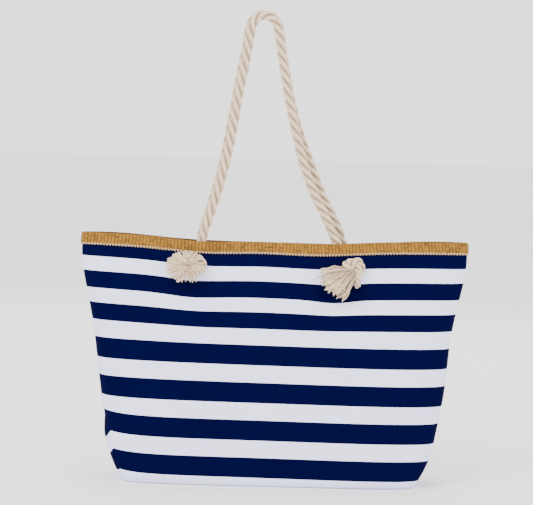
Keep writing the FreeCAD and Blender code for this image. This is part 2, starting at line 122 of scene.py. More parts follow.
def half_depth(z):
    swell = 1 - (np.clip(z, 0, None) / HEIGHT) ** LEAN_POWER
    depth = RIM_HALF_DEPTH + (BASE_HALF_DEPTH - RIM_HALF_DEPTH) * swell
    return depth - BASE_EDGE_TUCK * np.clip(1 - z / BASE_EDGE_RADIUS, 0, 1) ** 2


def roundness(z):
    return RIM_ROUNDNESS + (BASE_ROUNDNESS - RIM_ROUNDNESS) * np.clip(1 - z / HEIGHT, 0, 1) ** 1.5


def bump(value, centre, width):
    return np.exp(-(((value - centre) / width) ** 2))


def mounds(x, z, shapes):
    """The sum of some soft mounds, each (size, across, half width, up, half height, slant)."""
    total = 0.0
    for size, across, wide, up, tall, slant in shapes:
        lean = slant * (z - SLANT_LEVEL)
        total = total + size * bump(x - lean, across * MM, wide * MM) * bump(z, up * MM, tall * MM)
    return total


def ripples(x, z, high, broad, fine):
    """Waves across the upper wall: broad is (size, length, phase), fine (size, length, length up)."""
    waves = broad[0] * np.sin(x / (broad[1] * MM) + broad[2]) * high
    return waves + fine[0] * np.sin(x / (fine[1] * MM) + z / (fine[2] * MM)) * high ** 2


def settle(x, z, side):
    """How far the cloth slips down the form, and stands out from it, as it hangs."""
    edge = np.clip(np.abs(x) / half_width(z), 0, 1)
    held = 1 - edge ** 6
    high = np.clip((z - SAG_FOOT) / (HEIGHT - SAG_FOOT), 0, 1)
    near_hole = np.maximum(bump(x, -HOLE_X, 34 * MM), bump(x, HOLE_X, 34 * MM)) * bump(z, HOLE_Z, 30 * MM)
    if side < 0:
        drop = sum(deep * bump(x, across * MM, wide * MM) for deep, across, wide in FRONT_SAGS)
        drop = drop * high ** 0.7 + mounds(x, z, FRONT_DIPS)
        folds = ripples(x, z, high, (2.4, 41, 0.6), (1.5, 23, 60)) + mounds(x, z, FRONT_FOLDS)
    else:
        drop = BACK_SAG[0] * np.exp(-((x / (BACK_SAG[1] * MM)) ** 4)) * high ** 0.7
        folds = ripples(x, z, high, (2.2, 38, 2.1), (1.6, 21, -52)) + mounds(x, z, BACK_FOLDS)
    low = np.clip(1 - z / (150 * MM), 0, 1) * np.clip(z / (14 * MM), 0, 1)
    folds += 1.6 * np.sin(x / (47 * MM) + 1.3 * side) * low
    folds += 0.7 * np.sin(z / (31 * MM) + x / (120 * MM)) * np.clip(z / (40 * MM), 0, 1)
    folds = folds * held * (1 - near_hole)
    return drop * held * MM, folds * MM


def outline(turn, z, inset):
    """Points of the form's plan at each height."""
    a, b, n = half_width(z) - inset, half_depth(z) - inset, roundness(z)
    c, s = np.cos(turn), np.sin(turn)
    reach = (np.abs(c) ** n + np.abs(s) ** n) ** (-1 / n)
    return a * reach * c, b * reach * s


def raw_surface(turn, z, inset):
    """Points of the hanging wall. turn runs round the bag: 0 at its right seam, pi at its left one."""
    turn, z = np.broadcast_arrays(np.asarray(turn, float), np.asarray(z, float))
    x, y = outline(turn, z, inset)
    front_drop, front_out = settle(x, z, -1)
    back_drop, back_out = settle(x, z, 1)
    drop, out = np.where(y < 0, front_drop, back_drop), np.where(y < 0, front_out, back_out)
    x, y = outline(turn, z - drop, inset)
    share = x / half_width(z - drop)
    left = np.clip((-share - SIDE_FACE) / (1 - SIDE_FACE), 0, 1)
    left = left * (1.6 * bump(z, 66 * MM, 11 * MM) - 1.9 * bump(z, 93 * MM, 9 * MM)) * MM
    right = np.clip((share - SIDE_FACE) / (1 - SIDE_FACE), 0, 1)
    right = right * (4.2 * bump(z, 130 * MM, 62 * MM) - 2.0 * bump(z, 0.0, 16 * MM)) * MM
    return np.stack([x - left + right, y + np.sign(y) * out, z - drop], -1)


def surface(turn, z, lift=0.0):
    """Points lifted off the wall's outer face, with the wall's outward normals."""
    step = 1e-4
    point = raw_surface(turn, z, 0.0)
    around = raw_surface(np.asarray(turn) + step, z, 0.0) - raw_surface(np.asarray(turn) - step, z, 0.0)
    upward = raw_surface(turn, np.asarray(z) + step, 0.0) - raw_surface(turn, np.asarray(z) - step, 0.0)
    normal = np.cross(around, upward)
    normal /= np.linalg.norm(normal, axis=-1, keepdims=True)
    return point + normal * np.asarray(lift)[..., None], normal


def where_on_wall(x, height, side):
    """The turn and the cloth's own height where the hanging wall passes x at a height."""
    turns = np.linspace(math.pi, 2 * math.pi, 721) if side < 0 else np.linspace(math.pi, 0, 721)
    z = height
    for _ in range(6):
        ring = raw_surface(turns, np.full(turns.shape, z), 0.0)
        turn = float(np.interp(x, ring[:, 0], turns))
        z += height - float(np.interp(x, ring[:, 0], ring[:, 2]))
    return turn, z


# --- Mesh tools -----------------------------------------------------------------------------


class Builder:
    """Collects grids of points into one mesh, with a face-corner UV map in metres."""

    def __init__(self):
        self.points, self.faces, self.uvs, self.values = [], [], [], []
        self.count = 0

    def grid(self, points, u, v, closed=False, value=0.0, keep=None):
        rows, cols = points.shape[:2]
        start = self.count
        self.points.append(points.reshape(-1, 3))
        value = np.broadcast_to(np.asarray(value, float), (rows, cols)) if np.ndim(value) < 2 else value
        self.values.append(value.reshape(-1))
        self.count += rows * cols
        u = np.broadcast_to(u, (rows, cols))
        v = np.broadcast_to(v, (rows, cols))
        last = cols if closed else cols - 1
        wrap = v[:, 0] + (v[:, -1] - v[:, 0]) * cols / max(cols - 1, 1)
        for i in range(rows - 1):
            for j in range(last):
                k = (j + 1) % cols
                if keep is not None and not keep[i, j]:
                    continue
                a, b = start + i * cols + j, start + i * cols + k
                c, d = b + cols, a + cols
                v0, v1 = (v[i, k], v[i + 1, k]) if k else (wrap[i], wrap[i + 1])
                self.faces.append((a, b, c, d))
                self.uvs += [u[i, j], v[i, j], u[i, k], v0, u[i + 1, k], v1, u[i + 1, j], v[i + 1, j]]
        return start

    def cap(self, start, cols, flip):
        ring = list(range(start, start + cols))
        self.faces.append(tuple(reversed(ring)) if flip else tuple(ring))
        self.uvs += [0.0, 0.0] * cols

    def tube(self, path, radius, sides, value=0.0, normal=None, flat=1.0):
        """A round or flattened tube along a path. normal, where given, is the flat side's direction."""
        path = np.asarray(path, float)
        side, up = frames(path, normal)
        radius = np.broadcast_to(radius, (len(path),))[:, None, None]
        angle = np.arange(sides) * 2 * math.pi / sides
        ring = side[:, None] * np.cos(angle)[None, :, None]
        ring = ring + up[:, None] * (flat * np.sin(angle))[None, :, None]
        points = path[:, None] + ring * radius
        length = distances(path)
        around = np.arange(sides) / sides * 2 * math.pi * float(np.mean(radius))
        start = self.grid(points, length[:, None], around[None, :], closed=True, value=value)
        self.cap(start, sides, True)
        self.cap(start + (len(path) - 1) * sides, sides, False)

    def finish(self, name, material):
        mesh = bpy.data.meshes.new(name)
        mesh.from_pydata(np.concatenate(self.points).tolist(), [], self.faces)
        layer = mesh.uv_layers.new(name="cloth")
        layer.data.foreach_set("uv", np.asarray(self.uvs, np.float32))
        attribute = mesh.attributes.new("value", "FLOAT", "POINT")
        attribute.data.foreach_set("value", np.concatenate(self.values).astype(np.float32))
        mesh.polygons.foreach_set("use_smooth", [True] * len(mesh.polygons))
        mesh.materials.append(material)
        mesh.validate()
        obj = bpy.data.objects.new(name, mesh)
        bpy.context.scene.collection.objects.link(obj)
        return obj


def unit(vectors):
    return vectors / np.maximum(np.linalg.norm(vectors, axis=-1, keepdims=True), 1e-12)


def distances(line):
    """How far each point of a line lies along it."""
    return np.r_[0, np.cumsum(np.linalg.norm(np.diff(line, axis=0), axis=1))]


def frames(path, normal=None):
    """Two cross directions along a path, turning as little as they can."""
    tangent = unit(np.gradient(path, axis=0))
    if normal is not None:
        side = unit(np.cross(tangent, normal))
        return side, np.cross(side, tangent)
    side = np.zeros_like(path)
    current = np.cross(tangent[0], (0.0, 1.0, 0.0))
    if np.linalg.norm(current) < 0.1:
        current = np.cross(tangent[0], (1.0, 0.0, 0.0))
    for i, way in enumerate(tangent):
        current = current - way * np.dot(current, way)
        current = current / np.linalg.norm(current)
        side[i] = current
    return side, np.cross(tangent, side)


def even(path, step):
    """The same path with points a step apart."""
    path = np.asarray(path, float)
    along = distances(path)
    count = max(2, int(round(along[-1] / step)) + 1)
    target = np.linspace(0, along[-1], count)
    return np.stack([np.interp(target, along, path[:, i]) for i in range(3)], -1)


def nurbs_path(points, name):
    """The smooth line that a route's points steer."""
    curve = bpy.data.curves.new(name, "CURVE")
    curve.dimensions = "3D"
    curve.resolution_u = 24
    spline = curve.splines.new("NURBS")
    spline.points.add(len(points) - 1)
    for point, co in zip(spline.points, points):
        point.co = (*co, 1.0)
    spline.order_u = 3
    spline.use_endpoint_u = True
    obj = bpy.data.objects.new(name, curve)
    mesh = bpy.data.meshes.new_from_object(obj)
    path = np.array([tuple(v.co) for v in mesh.vertices])
    bpy.data.objects.remove(obj)
    bpy.data.curves.remove(curve)
    bpy.data.meshes.remove(mesh)
    return path


# --- Materials ------------------------------------------------------------------------------


class Shader:
    """A small wrapper that adds nodes to one material."""

    def __init__(self, name, roughness=0.85, sheen=0.0, metallic=0.0, specular=0.3):
        self.material = bpy.data.materials.new(name)
        self.material.use_nodes = True
        self.tree = self.material.node_tree
        self.shader = self.tree.nodes["Principled BSDF"]
        self.shader.inputs["Roughness"].default_value = roughness
        self.shader.inputs["Metallic"].default_value = metallic
        self.shader.inputs["Specular IOR Level"].default_value = specular
        self.shader.inputs["Sheen Weight"].default_value = sheen
        self.shader.inputs["Sheen Roughness"].default_value = 0.5

    def node(self, kind, inputs=(), **settings):
        node = self.tree.nodes.new(kind)
        for key, value in settings.items():
            setattr(node, key, value)
        for key, value in dict(inputs).items():
            if isinstance(value, bpy.types.NodeSocket):
                self.tree.links.new(value, node.inputs[key])
            else:
                node.inputs[key].default_value = value
        return node

    def math(self, operation, a, b=0.0, c=0.0):
        return self.node("ShaderNodeMath", {0: a, 1: b, 2: c}, operation=operation).outputs[0]

    def attribute(self, name):
        return self.node("ShaderNodeAttribute", attribute_name=name).outputs["Fac"]

    def uv(self):
        both = self.node("ShaderNodeUVMap", uv_map="cloth").outputs["UV"]
        split = self.node("ShaderNodeSeparateXYZ", {"Vector": both})
        return both, split.outputs["X"], split.outputs["Y"]

    def noise(self, vector, scale, detail=3.0, stretch=None):
        if stretch:
            vector = self.node("ShaderNodeMapping", {"Vector": vector, "Scale": stretch}).outputs["Vector"]
        inputs = {"Vector": vector, "Scale": scale, "Detail": detail}
        return self.node("ShaderNodeTexNoise", inputs).outputs["Fac"]

    def place(self):
        return self.node("ShaderNodeTexCoord").outputs["Object"]

    def mix(self, factor, a, b):
        node = self.node("ShaderNodeMix", {0: factor}, data_type="RGBA")
        for key, value in ((6, a), (7, b)):
            if isinstance(value, bpy.types.NodeSocket):
                self.tree.links.new(value, node.inputs[key])
            else:
                node.inputs[key].default_value = (*value, 1.0)
        return node.outputs[2]

    def colour(self, socket):
        self.tree.links.new(socket, self.shader.inputs["Base Color"])

    def roughness(self, socket):
        self.tree.links.new(socket, self.shader.inputs["Roughness"])

    def relief(self, height, distance, strength=1.0):
        inputs = {"Height": height, "Distance": distance, "Strength": strength}
        node = self.node("ShaderNodeBump", inputs)
        self.tree.links.new(node.outputs["Normal"], self.shader.inputs["Normal"])

    def weave(self, pitch, jitter=0.15):
        """A plain weave from the cloth's own coordinates: 1 on top of a thread, 0 between."""
        both, u, v = self.uv()
        wander = self.noise(both, 90.0, 2.0)
        shift = self.math("MULTIPLY", wander, jitter * pitch)
        across = self.math("MULTIPLY", self.math("ADD", u, shift), math.pi / pitch)
        along = self.math("MULTIPLY", self.math("ADD", v, shift), math.pi / pitch)
        product = self.math("MULTIPLY", self.math("SINE", across), self.math("SINE", along))
        return self.math("MULTIPLY_ADD", product, 0.5, 0.5)


def canvas_material():
    """Navy and white bands in plain-weave cotton. The value attribute counts the bands."""
    s = Shader("striped_canvas", 0.9, specular=0.02)
    both, _, _ = s.uv()
    fray = s.math("MULTIPLY", s.noise(both, 1400.0, 1.0), 0.03)
    band = s.math("ADD", s.attribute("value"), fray)
    white_band = s.math("COMPARE", s.math("MODULO", band, 2.0), 1.5, WHITE_HALF_BAND)
    weave = s.weave(0.8 * MM)
    cloud = s.noise(both, 14.0, 4.0)
    navy = s.mix(cloud, (0.0002, 0.0003, 0.016), (0.0004, 0.0006, 0.024))
    navy = s.mix(s.math("MULTIPLY", weave, 0.35), navy, (0.0009, 0.0013, 0.042))
    white = s.mix(cloud, (0.70, 0.71, 0.97), (0.76, 0.77, 1.0))
    white = s.mix(s.math("MULTIPLY", weave, 0.3), white, (0.83, 0.84, 1.0))
    s.colour(s.mix(white_band, navy, white))
    s.relief(weave, 0.12 * MM, 0.6)
    return s.material


def lining_material():
    s = Shader("lining_cloth", 0.75, 0.1, specular=0.3)
    both, _, _ = s.uv()
    weave = s.weave(0.45 * MM)
    cloth = s.mix(s.noise(both, 22.0, 4.0), (0.50, 0.46, 0.39), (0.62, 0.58, 0.50))
    s.colour(s.mix(s.math("MULTIPLY", weave, 0.3), cloth, (0.70, 0.66, 0.58)))
    s.relief(weave, 0.05 * MM, 0.5)
    return s.material


def straw_material():
    """Twisted paper straw. The value attribute sets each strand's own tone, with painted light and shade
    from where it lies over or passes under the others.
    """
    s = Shader("paper_straw", 0.6, 0.0, specular=0.2)
    both, _, _ = s.uv()
    fibre = s.noise(both, 1.0, 4.0, stretch=(220.0, 3000.0, 1.0))
    patch = s.noise(s.place(), 160.0, 3.0)
    # The dark colour is partly the straw's own darker tone and partly painted shade, for strands passing
    # under.
    base = s.mix(s.attribute("value"), (0.028, 0.010, 0.001), (0.27, 0.122, 0.010))
    base = s.mix(s.math("MULTIPLY", fibre, 0.3), base, (0.36, 0.18, 0.022))
    s.colour(s.mix(s.math("MULTIPLY", patch, 0.45), base, (0.19, 0.08, 0.010)))
    s.relief(fibre, 0.15 * MM, 0.8)
    return s.material


def cotton_material(name, dark, light, pale):
    """Twisted cotton. The value attribute is low in the grooves between strands and at the roots of loose
    yarns, where the dark colour is painted shade.
    """
    s = Shader(name, 0.9, 0.35, specular=0.15)
    both, _, _ = s.uv()
    fibre = s.noise(both, 1.0, 4.0, stretch=(500.0, 4200.0, 1.0))
    patch = s.noise(s.place(), 45.0, 3.0)
    base = s.mix(s.attribute("value"), dark, light)
    base = s.mix(s.math("MULTIPLY", patch, 0.35), base, pale)
    s.colour(s.mix(s.math("MULTIPLY", fibre, 0.25), base, light))
    s.relief(fibre, 0.14 * MM, 0.8)
    return s.material


def thread_material(name, colour):
    s = Shader(name, 0.7, 0.2)
    both, _, _ = s.uv()
    twist = s.noise(both, 1.0, 2.0, stretch=(1500.0, 900.0, 1.0))
    dark = tuple(c * 0.6 for c in colour)
    s.colour(s.mix(twist, dark, colour))
    s.relief(twist, 0.05 * MM, 0.7)
    return s.material


def tape_material():
    """Ribbed woven tape."""
    s = Shader("zip_tape", 0.8, 0.1)
    both, u, v = s.uv()
    rib = s.math("SINE", s.math("MULTIPLY", s.math("ADD", u, v), 2 * math.pi / (0.9 * MM)))
    rib = s.math("MULTIPLY_ADD", rib, 0.5, 0.5)
    cloth = s.mix(s.noise(both, 60.0, 3.0), (0.010, 0.013, 0.050), (0.018, 0.022, 0.075))
    s.colour(s.mix(s.math("MULTIPLY", rib, 0.4), cloth, (0.03, 0.035, 0.11)))
    s.relief(rib, 0.1 * MM, 0.6)
    return s.material


# Very dark brown cloth for the strip inside the rim: painted shadow.
def painted_shadow_cloth():
    s = Shader("rim_shadow_paint", 0.85, 0.05, specular=0.15)
    weave = s.weave(0.7 * MM)
    both, _, _ = s.uv()
    cloth = s.mix(s.noise(both, 40.0, 3.0), (0.020, 0.008, 0.004), (0.045, 0.018, 0.008))
    s.colour(s.mix(s.math("MULTIPLY", weave, 0.4), cloth, (0.08, 0.035, 0.015)))
    s.relief(weave, 0.08 * MM, 0.6)
    return s.material


def coil_material():
    s = Shader("zip_coil_nylon", 0.38, 0.0, specular=0.5)
    tone = s.noise(s.place(), 300.0, 2.0)
    s.colour(s.mix(tone, (0.012, 0.015, 0.055), (0.035, 0.04, 0.11)))
    return s.material


def metal_material():
    """Polished nickel with fine wear."""
    s = Shader("nickel", 0.25, metallic=1.0, specular=0.5)
    place = s.place()
    wear = s.noise(place, 900.0, 4.0)
    scratch = s.noise(place, 1.0, 3.0, stretch=(4000.0, 300.0, 300.0))
    s.colour(s.mix(wear, (0.62, 0.61, 0.58), (0.80, 0.79, 0.77)))
    s.roughness(s.math("MULTIPLY_ADD", wear, 0.25, 0.15))
    s.relief(scratch, 0.02 * MM, 0.5)
    return s.material


# --- The cloth shells -----------------------------------------------------------------------

EDGE_START = 14 * MM  # the wall's rows lie closer together below this height, round the base edge
EDGE_LEVELS = np.array([11, 8.5, 6, 4, 2.2, 0.9, 0]) * MM
BASE_ROWS = (0.975, 0.93, 0.86, 0.76, 0.64, 0.52, 0.4, 0.28, 0.16, 0.06, 0.0)
BASE_SHRINK = 1 - BASE_HALF_DEPTH / SIDE_FOOT_HALF_WIDTH * 0.6  # the middle seam's length beside the edge's
WIDEST_ROW = 10
FOLD_START = 0.965
LOWEST_BAND = (13.0, 13.9)
CANVAS_DROP = 1.2 * MM  # the canvas ends this far below the rim, under its tape
CANVAS_THICKNESS = 1.1 * MM
LINING_DROP = 3 * MM
LINING_THICKNESS = 0.5 * MM


def band_count(x, z):
    """How many band edges lie above z: even is navy, odd is white. The bands run slightly downhill."""
    z = z + BAND_TILT * x
    knee = TOP_EDGE - UPPER_EDGES * UPPER_BAND
    upper = (TOP_EDGE - z) / UPPER_BAND + 1
    lower = (knee - z) / LOWER_BAND + UPPER_EDGES + 1
    return np.where(z > knee, upper, lower)


def corner_shift(x, z):
    """How the bands bend at the left end, in bands: up towards the corner, and down over its fold."""
    edge = np.abs(x) / half_width(z)
    folded = np.clip((edge - FOLD_START) / (1 - FOLD_START), 0, 1)
    folded = folded * np.clip((92 * MM - z) / (16 * MM), 0, 1) * np.clip(z / (45 * MM), 0, 1)
    rise = np.exp((edge - 1) * SIDE_FOOT_HALF_WIDTH / (24 * MM))
    rise = rise * np.clip((125 * MM - z) / (28 * MM), 0, 1) * np.clip(z / (20 * MM), 0, 1)
    return (x < 0) * (0.2 * rise - 0.5 * folded)


def shell(name, side, inset, top, material, columns=170):
    """One panel: the wall from its rim to the base edge, then half of the base."""
    ends = (math.pi, 2 * math.pi) if side < 0 else (0.0, math.pi)
    turns = np.linspace(*ends, columns)
    wall = np.r_[np.linspace(top, EDGE_START, 74), EDGE_LEVELS]
    wall[-1] = inset
    points = raw_surface(turns[None, :], wall[:, None], inset)
    points[:, (0, -1), 0] -= np.sign(points[:, (0, -1), 0]) * SEAM_TUCK
    rows = [points[-1] * (BASE_SHRINK + (1 - BASE_SHRINK) * f, f, 1.0) for f in BASE_ROWS]
    points = np.concatenate([points, np.array(rows)])
    v = distances(points[:, columns // 2])[:, None]
    u = distances(points[WIDEST_ROW])[None, :]
    levels = np.r_[wall, np.zeros(len(BASE_ROWS))]
    bands = band_count(points[..., 0], levels[:, None])
    bands += corner_shift(points[..., 0], levels[:, None])
    bands[len(wall):] = np.clip(bands[len(wall) - 1], *LOWEST_BAND)
    centre = (points[:-1, :-1] + points[1:, 1:]) / 2
    keep = np.ones(centre.shape[:2], bool)
    for x in (-HOLE_X, HOLE_X):
        hole = surface(*where_on_wall(x, HOLE_Z, side))[0]
        keep &= np.linalg.norm(centre - hole, axis=-1) > HOLE_CUT
    points, bands, u, keep = points[:, ::-1], bands[:, ::-1], u[:, ::-1], keep[:, ::-1]
    builder = Builder()
    builder.grid(points, u, v, value=bands, keep=keep)
    return builder.finish(name, material)


def thicken(obj, thickness, levels=1):
    """Gives a cloth piece its real thickness, inwards."""
    if levels:
        smooth = obj.modifiers.new("smooth", "SUBSURF")
        smooth.levels = smooth.render_levels = levels
        smooth.boundary_smooth = "PRESERVE_CORNERS"
    solid = obj.modifiers.new("thickness", "SOLIDIFY")
    solid.thickness = thickness
    solid.offset = -1.0
    return obj


def dress(obj, body, slot_name, *nodes):
    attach(obj, body)
    if nodes:
        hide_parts(*nodes)


def cut_cloth(obj, *rests_on):
    """Reads a sewn cloth piece's UV map, which holds the size that it was cut to."""
    uv = np.empty(2 * len(obj.data.loops))
    obj.data.uv_layers["cloth"].data.foreach_get("uv", uv)


def make_panels(canvas, lining):
    for side, name in ((-1, "front"), (1, "back")):
        outer = shell(f"{name}_canvas", side, 0.0, HEIGHT - CANVAS_DROP, canvas)
        dress(thicken(outer, CANVAS_THICKNESS), "bag", "canvas", f"{name}_panel")
        cut_cloth(outer, "rim_braid")
        inner = shell(f"{name}_lining_cloth", side, LINING_INSET, HEIGHT - LINING_DROP, lining, 110)
        dress(thicken(inner, LINING_THICKNESS, 0), "bag", "lining", f"{name}_lining")
        cut_cloth(inner, f"{name}_canvas")


# --- The straw rim --------------------------------------------------------------------------

RIM_MIDDLE = HEIGHT - BRAID_HEIGHT / 2
STRANDS = 5
STRAND_HALF_WIDTH = 2.1  # in millimetres
PLAIT_HALF_HEIGHT = BRAID_HEIGHT / 2 - 1.3 * MM
PLAIT_LENGTH = 25 * MM  # in which a strand crosses the plait and comes back
SHADE_LENGTH = 5 * MM  # the straw's colour changes over this length
SCALLOP_LENGTH = 4.4 * MM


def rim_line(step, samples=4000):
    """Distances round the rim a step apart, and the turn at each."""
    turns = np.linspace(0, 2 * math.pi, samples)
    along = distances(raw_surface(turns, np.full(samples, RIM_MIDDLE), 0.0))
    s = np.linspace(0, along[-1], int(along[-1] / step))
    return s, np.interp(s, along, turns)


def make_plait(straw):
    """A flat plait of straw round the rim, each strand passing over and under the others."""
    s, turn = rim_line(0.8 * MM)
    period = s[-1] / round(s[-1] / PLAIT_LENGTH)
    row = 2 * PLAIT_HALF_HEIGHT / STRANDS
    spots = np.arange(0, s[-1] + SHADE_LENGTH, SHADE_LENGTH)
    rng = np.random.default_rng(7)
    builder = Builder()
    for k in range(STRANDS):
        phase = (s / period + k / STRANDS) % 1.0
        up = phase < 0.5
        w = np.where(up, 4 * phase - 1, 3 - 4 * phase) * PLAIT_HALF_HEIGHT
        over = np.cos(math.pi * (w + PLAIT_HALF_HEIGHT - row / 2) / row)
        over = np.where(up, over, -over)
        path, normal = surface(turn, RIM_MIDDLE + w, (1.3 + 0.7 * over) * MM)
        uneven = np.interp(s, spots, rng.normal(0.0, 0.42, len(spots)))
        # A random tone for the strand and along it, plus painted light and shade: lighter where the strand
        # lies over, darker where it passes under.
        tone_and_under_shade = 0.4 + 0.2 * rng.random() + 0.42 * over + uneven
        value = np.repeat(np.clip(tone_and_under_shade, 0, 1)[:, None], 8, 1)
        width = (STRAND_HALF_WIDTH + 0.14 * np.sin(s * 900 + k)) * MM
        builder.tube(path, width, 8, value=value, normal=normal, flat=0.42)
    dress(builder.finish("straw_braid", straw), "bag", "straw_braid", "rim_braid")


def make_rim_cords(straw, thread):
    """The scalloped thread along the plait's foot, and the straw cord along its top."""
    s, turn = rim_line(0.45 * MM)
    beat = np.sin(2 * math.pi * s / SCALLOP_LENGTH)
    foot, top = RIM_MIDDLE - PLAIT_HALF_HEIGHT, RIM_MIDDLE + PLAIT_HALF_HEIGHT
    cords = (
        ("rim_lower_cord", thread, foot - (1.0 + 0.9 * beat) * MM, 1.3, 1.0 + 0.75 * beat, 0.9),
        ("rim_upper_cord", straw, top + (0.9 - 0.15 * beat) * MM, 1.2, 0.8 + 0.12 * beat, 0.75),
    )
    for name, material, z, lift, radius, value in cords:
        path, _ = surface(turn, z, lift * MM)
        builder = Builder()
        builder.tube(path, radius * MM, 7, value=value)
        dress(builder.finish(name, material), "bag", "straw_braid")


def make_rim_shadow_strip(dark):
    """A dark strip round the inside of the rim, painted shadow: it stands for the shade on the rim's inner
    side.
    """
    turn = np.linspace(2 * math.pi, 0, 500)[None, :]
    builder = Builder()
    levels = np.array([349.6, 346.0, 342.0, 338.5])[:, None] * MM
    inset = np.array([-0.1, 2.6, 2.8, 2.9])[:, None] * MM
    points = raw_surface(turn, levels, inset)
    points[0, :, 2] += 0.6 * MM
    along = distances(points[0])
    builder.grid(points, along[None, :], np.array([0, 4, 8, 12])[:, None] * MM)
    tape = builder.finish("inner_rim_shadow", dark)
    dress(thicken(tape, LINING_THICKNESS, 0), "bag", "lining")


# --- Rope -----------------------------------------------------------------------------------


def lay_rope(builder, path, radius=ROPE_RADIUS, turns=None):
    """Three strands round a path, each a bundle of yarns twisted the other way."""
    side, up = frames(path)
    along = distances(path)
    lay = along[-1] / turns if turns else LAY
    centre, strand = radius * 0.50, radius * 0.50
    yarns = 8
    yarn = strand * 0.36
    for k in range(3):
        angle = -2 * math.pi * along / lay + 2 * math.pi * k / 3
        way = side * np.cos(angle)[:, None] + up * np.sin(angle)[:, None]
        middle = path + way * centre
        inner_side, inner_up = frames(middle)
        # Low values here are painted shade: the hidden strand cores at 0.35, and each yarn darker the
        # nearer it lies to the rope's middle, in the grooves.
        builder.tube(middle, strand * 0.86, 8, value=0.35)
        for j in range(yarns):
            twist = 2 * math.pi * along / (lay * 0.62) + 2 * math.pi * j / yarns
            offset = inner_side * np.cos(twist)[:, None] + inner_up * np.sin(twist)[:, None]
            line = middle + offset * (strand - yarn * 0.86)
            reach = np.linalg.norm(line - path, axis=1) / radius
            value = np.clip((reach - 0.5) / 0.34, 0, 1)
            builder.tube(line, yarn, 6, value=np.repeat(value[:, None], 6, 1))


# The points that steer each handle's arch above its hinge, in millimetres: across and up. Below them
# each rope goes down inside the rim and out through its two eyelets
FRONT_ROUTE = (
    (-98.5, 372), (-87, 408), (-76, 452), (-67, 498), (-61, 546), (-53, 590), (-48.5, 618),
    (-46, 640), (-43, 656), (-33, 667), (-18, 667), (-8, 656), (-4, 640), (-1, 618), (5.5, 585),
    (13, 545), (24, 500), (36, 456), (53, 413), (76, 372),
)
BACK_ROUTE = (
    (-99.5, 372), (-89, 408), (-78, 452), (-70, 498), (-63, 546), (-56, 590), (-50.5, 618),
    (-48, 640), (-45, 657), (-34, 668), (-17, 668), (-6, 657), (-2, 640), (1, 618), (7.5, 585),
    (15.5, 545), (29, 500), (47, 456), (64, 413), (87, 372),
)
HANDLE_LEAN = math.radians(0.72)
ROPE_END = (5.5, 10.5, 356)  # beside the pivot, from the middle of the mouth, and up
EYELET_STEPS = (1.3, -6.0, -17.0)  # along the eyelet's axis


def eyelet_frame(side, x):
    """The eyelet's centre, its outward axis and its upward direction."""
    turn, z = where_on_wall(x, HOLE_Z, side)
    centre, out = surface(turn, z)
    above, _ = surface(turn, z + 4 * MM)
    upward = above - centre
    upward = unit(upward - out * np.dot(upward, out))
    return centre, out, upward


def rope_route(side, route):
    """The whole rope's points, from one knot to the other."""
    arch = []
    for x, z in route:
        rise = z * MM - PIVOT_Z
        y = side * (PIVOT_Y - rise * math.sin(HANDLE_LEAN))
        arch.append((x * MM, y, PIVOT_Z + rise * math.cos(HANDLE_LEAN)))
    ends = []
    for way, pivot_x in ((-1, route[0][0]), (1, route[-1][0])):
        centre, out, _ = eyelet_frame(side, way * HOLE_X)
        inside = [tuple(centre + out * step * MM) for step in EYELET_STEPS]
        inside.append(((pivot_x + way * ROPE_END[0]) * MM, side * ROPE_END[1] * MM, ROPE_END[2] * MM))
        ends.append(inside)
    return ends[0] + arch + ends[1][::-1]


def make_rope(side, name, route, cotton):
    path = even(nurbs_path(rope_route(side, route), f"{name}_route"), 1.5 * MM)
    builder = Builder()
    lay_rope(builder, path)
    rope = builder.finish(f"{name}_rope", cotton)
    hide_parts(f"{name}_handle", f"{name}_left_rope_end", f"{name}_right_rope_end")
    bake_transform(rope)


# --- Knots and frayed ends ------------------------------------------------------------------


def local_points(points, side, x):
    """Points given across, up and out of an eyelet, in millimetres, moved to the bag."""
    centre, out, upward = eyelet_frame(side, x)
    across = np.cross(upward, out)
    axes = np.stack([across, upward, out])
    return centre + (np.asarray(points) * MM) @ axes


def make_knot(name, side, x, cotton, opens, spin):
    """An overhand knot: the rope runs over and under itself in three lobes, with a bight below."""
    t = np.linspace(0, 2 * math.pi, 150)
    size, radius = (3.2, 5.2) if opens else (3.85, 5.8)
    reach = size * (2 + np.cos(3 * t))
    way = outward(side, x)
    across = reach * np.cos(2 * t + spin) - (0.0 if opens else 3.0 * way)
    knot = [across, reach * np.sin(2 * t + spin) * 1.08 - 1.0, 12.0 + 5.2 * np.sin(3 * t)]
    builder = Builder()
    lay_rope(builder, local_points(np.stack(knot, -1), side, x), radius=radius * MM, turns=3)
    if not opens:
        bend = np.linspace(0, math.pi, 24)
        low = np.stack([np.full(24, 2.5 * way), -20.5 - 5.5 * np.sin(bend), 13.0 + 5.0 * np.cos(bend)], -1)
        bight = np.concatenate([[[1.0 * way, -6.0, 18.0]], low, [[1.0 * way, -6.0, 8.0]]])
        lay_rope(builder, even(local_points(bight, side, x), 1.2 * MM), radius=4.8 * MM, turns=2)
    dress(builder.finish(f"{name}_knot_rope", cotton), "bag", "rope", f"{name}_knot")


def yarn_path(start, end, rng, curl, bow, count=9):
    """A loose yarn from start to end, bowed and crinkled."""
    t = np.linspace(0, 1, count)[:, None]
    line = start + (end - start) * t + bow * (4 * t * (1 - t))
    length = np.linalg.norm(end - start)
    a, b = unit(rng.normal(size=3)), unit(rng.normal(size=3))
    phase = rng.random() * 6.3
    wave = np.sin(t * length / 2.3 + phase) * a + np.cos(t * length / 3.1 + phase) * b
    return line + wave * curl * t


def outward(side, x):
    """Which way along an eyelet's own across direction leads to the bag's nearer end."""
    return 1 if side * x < 0 else -1


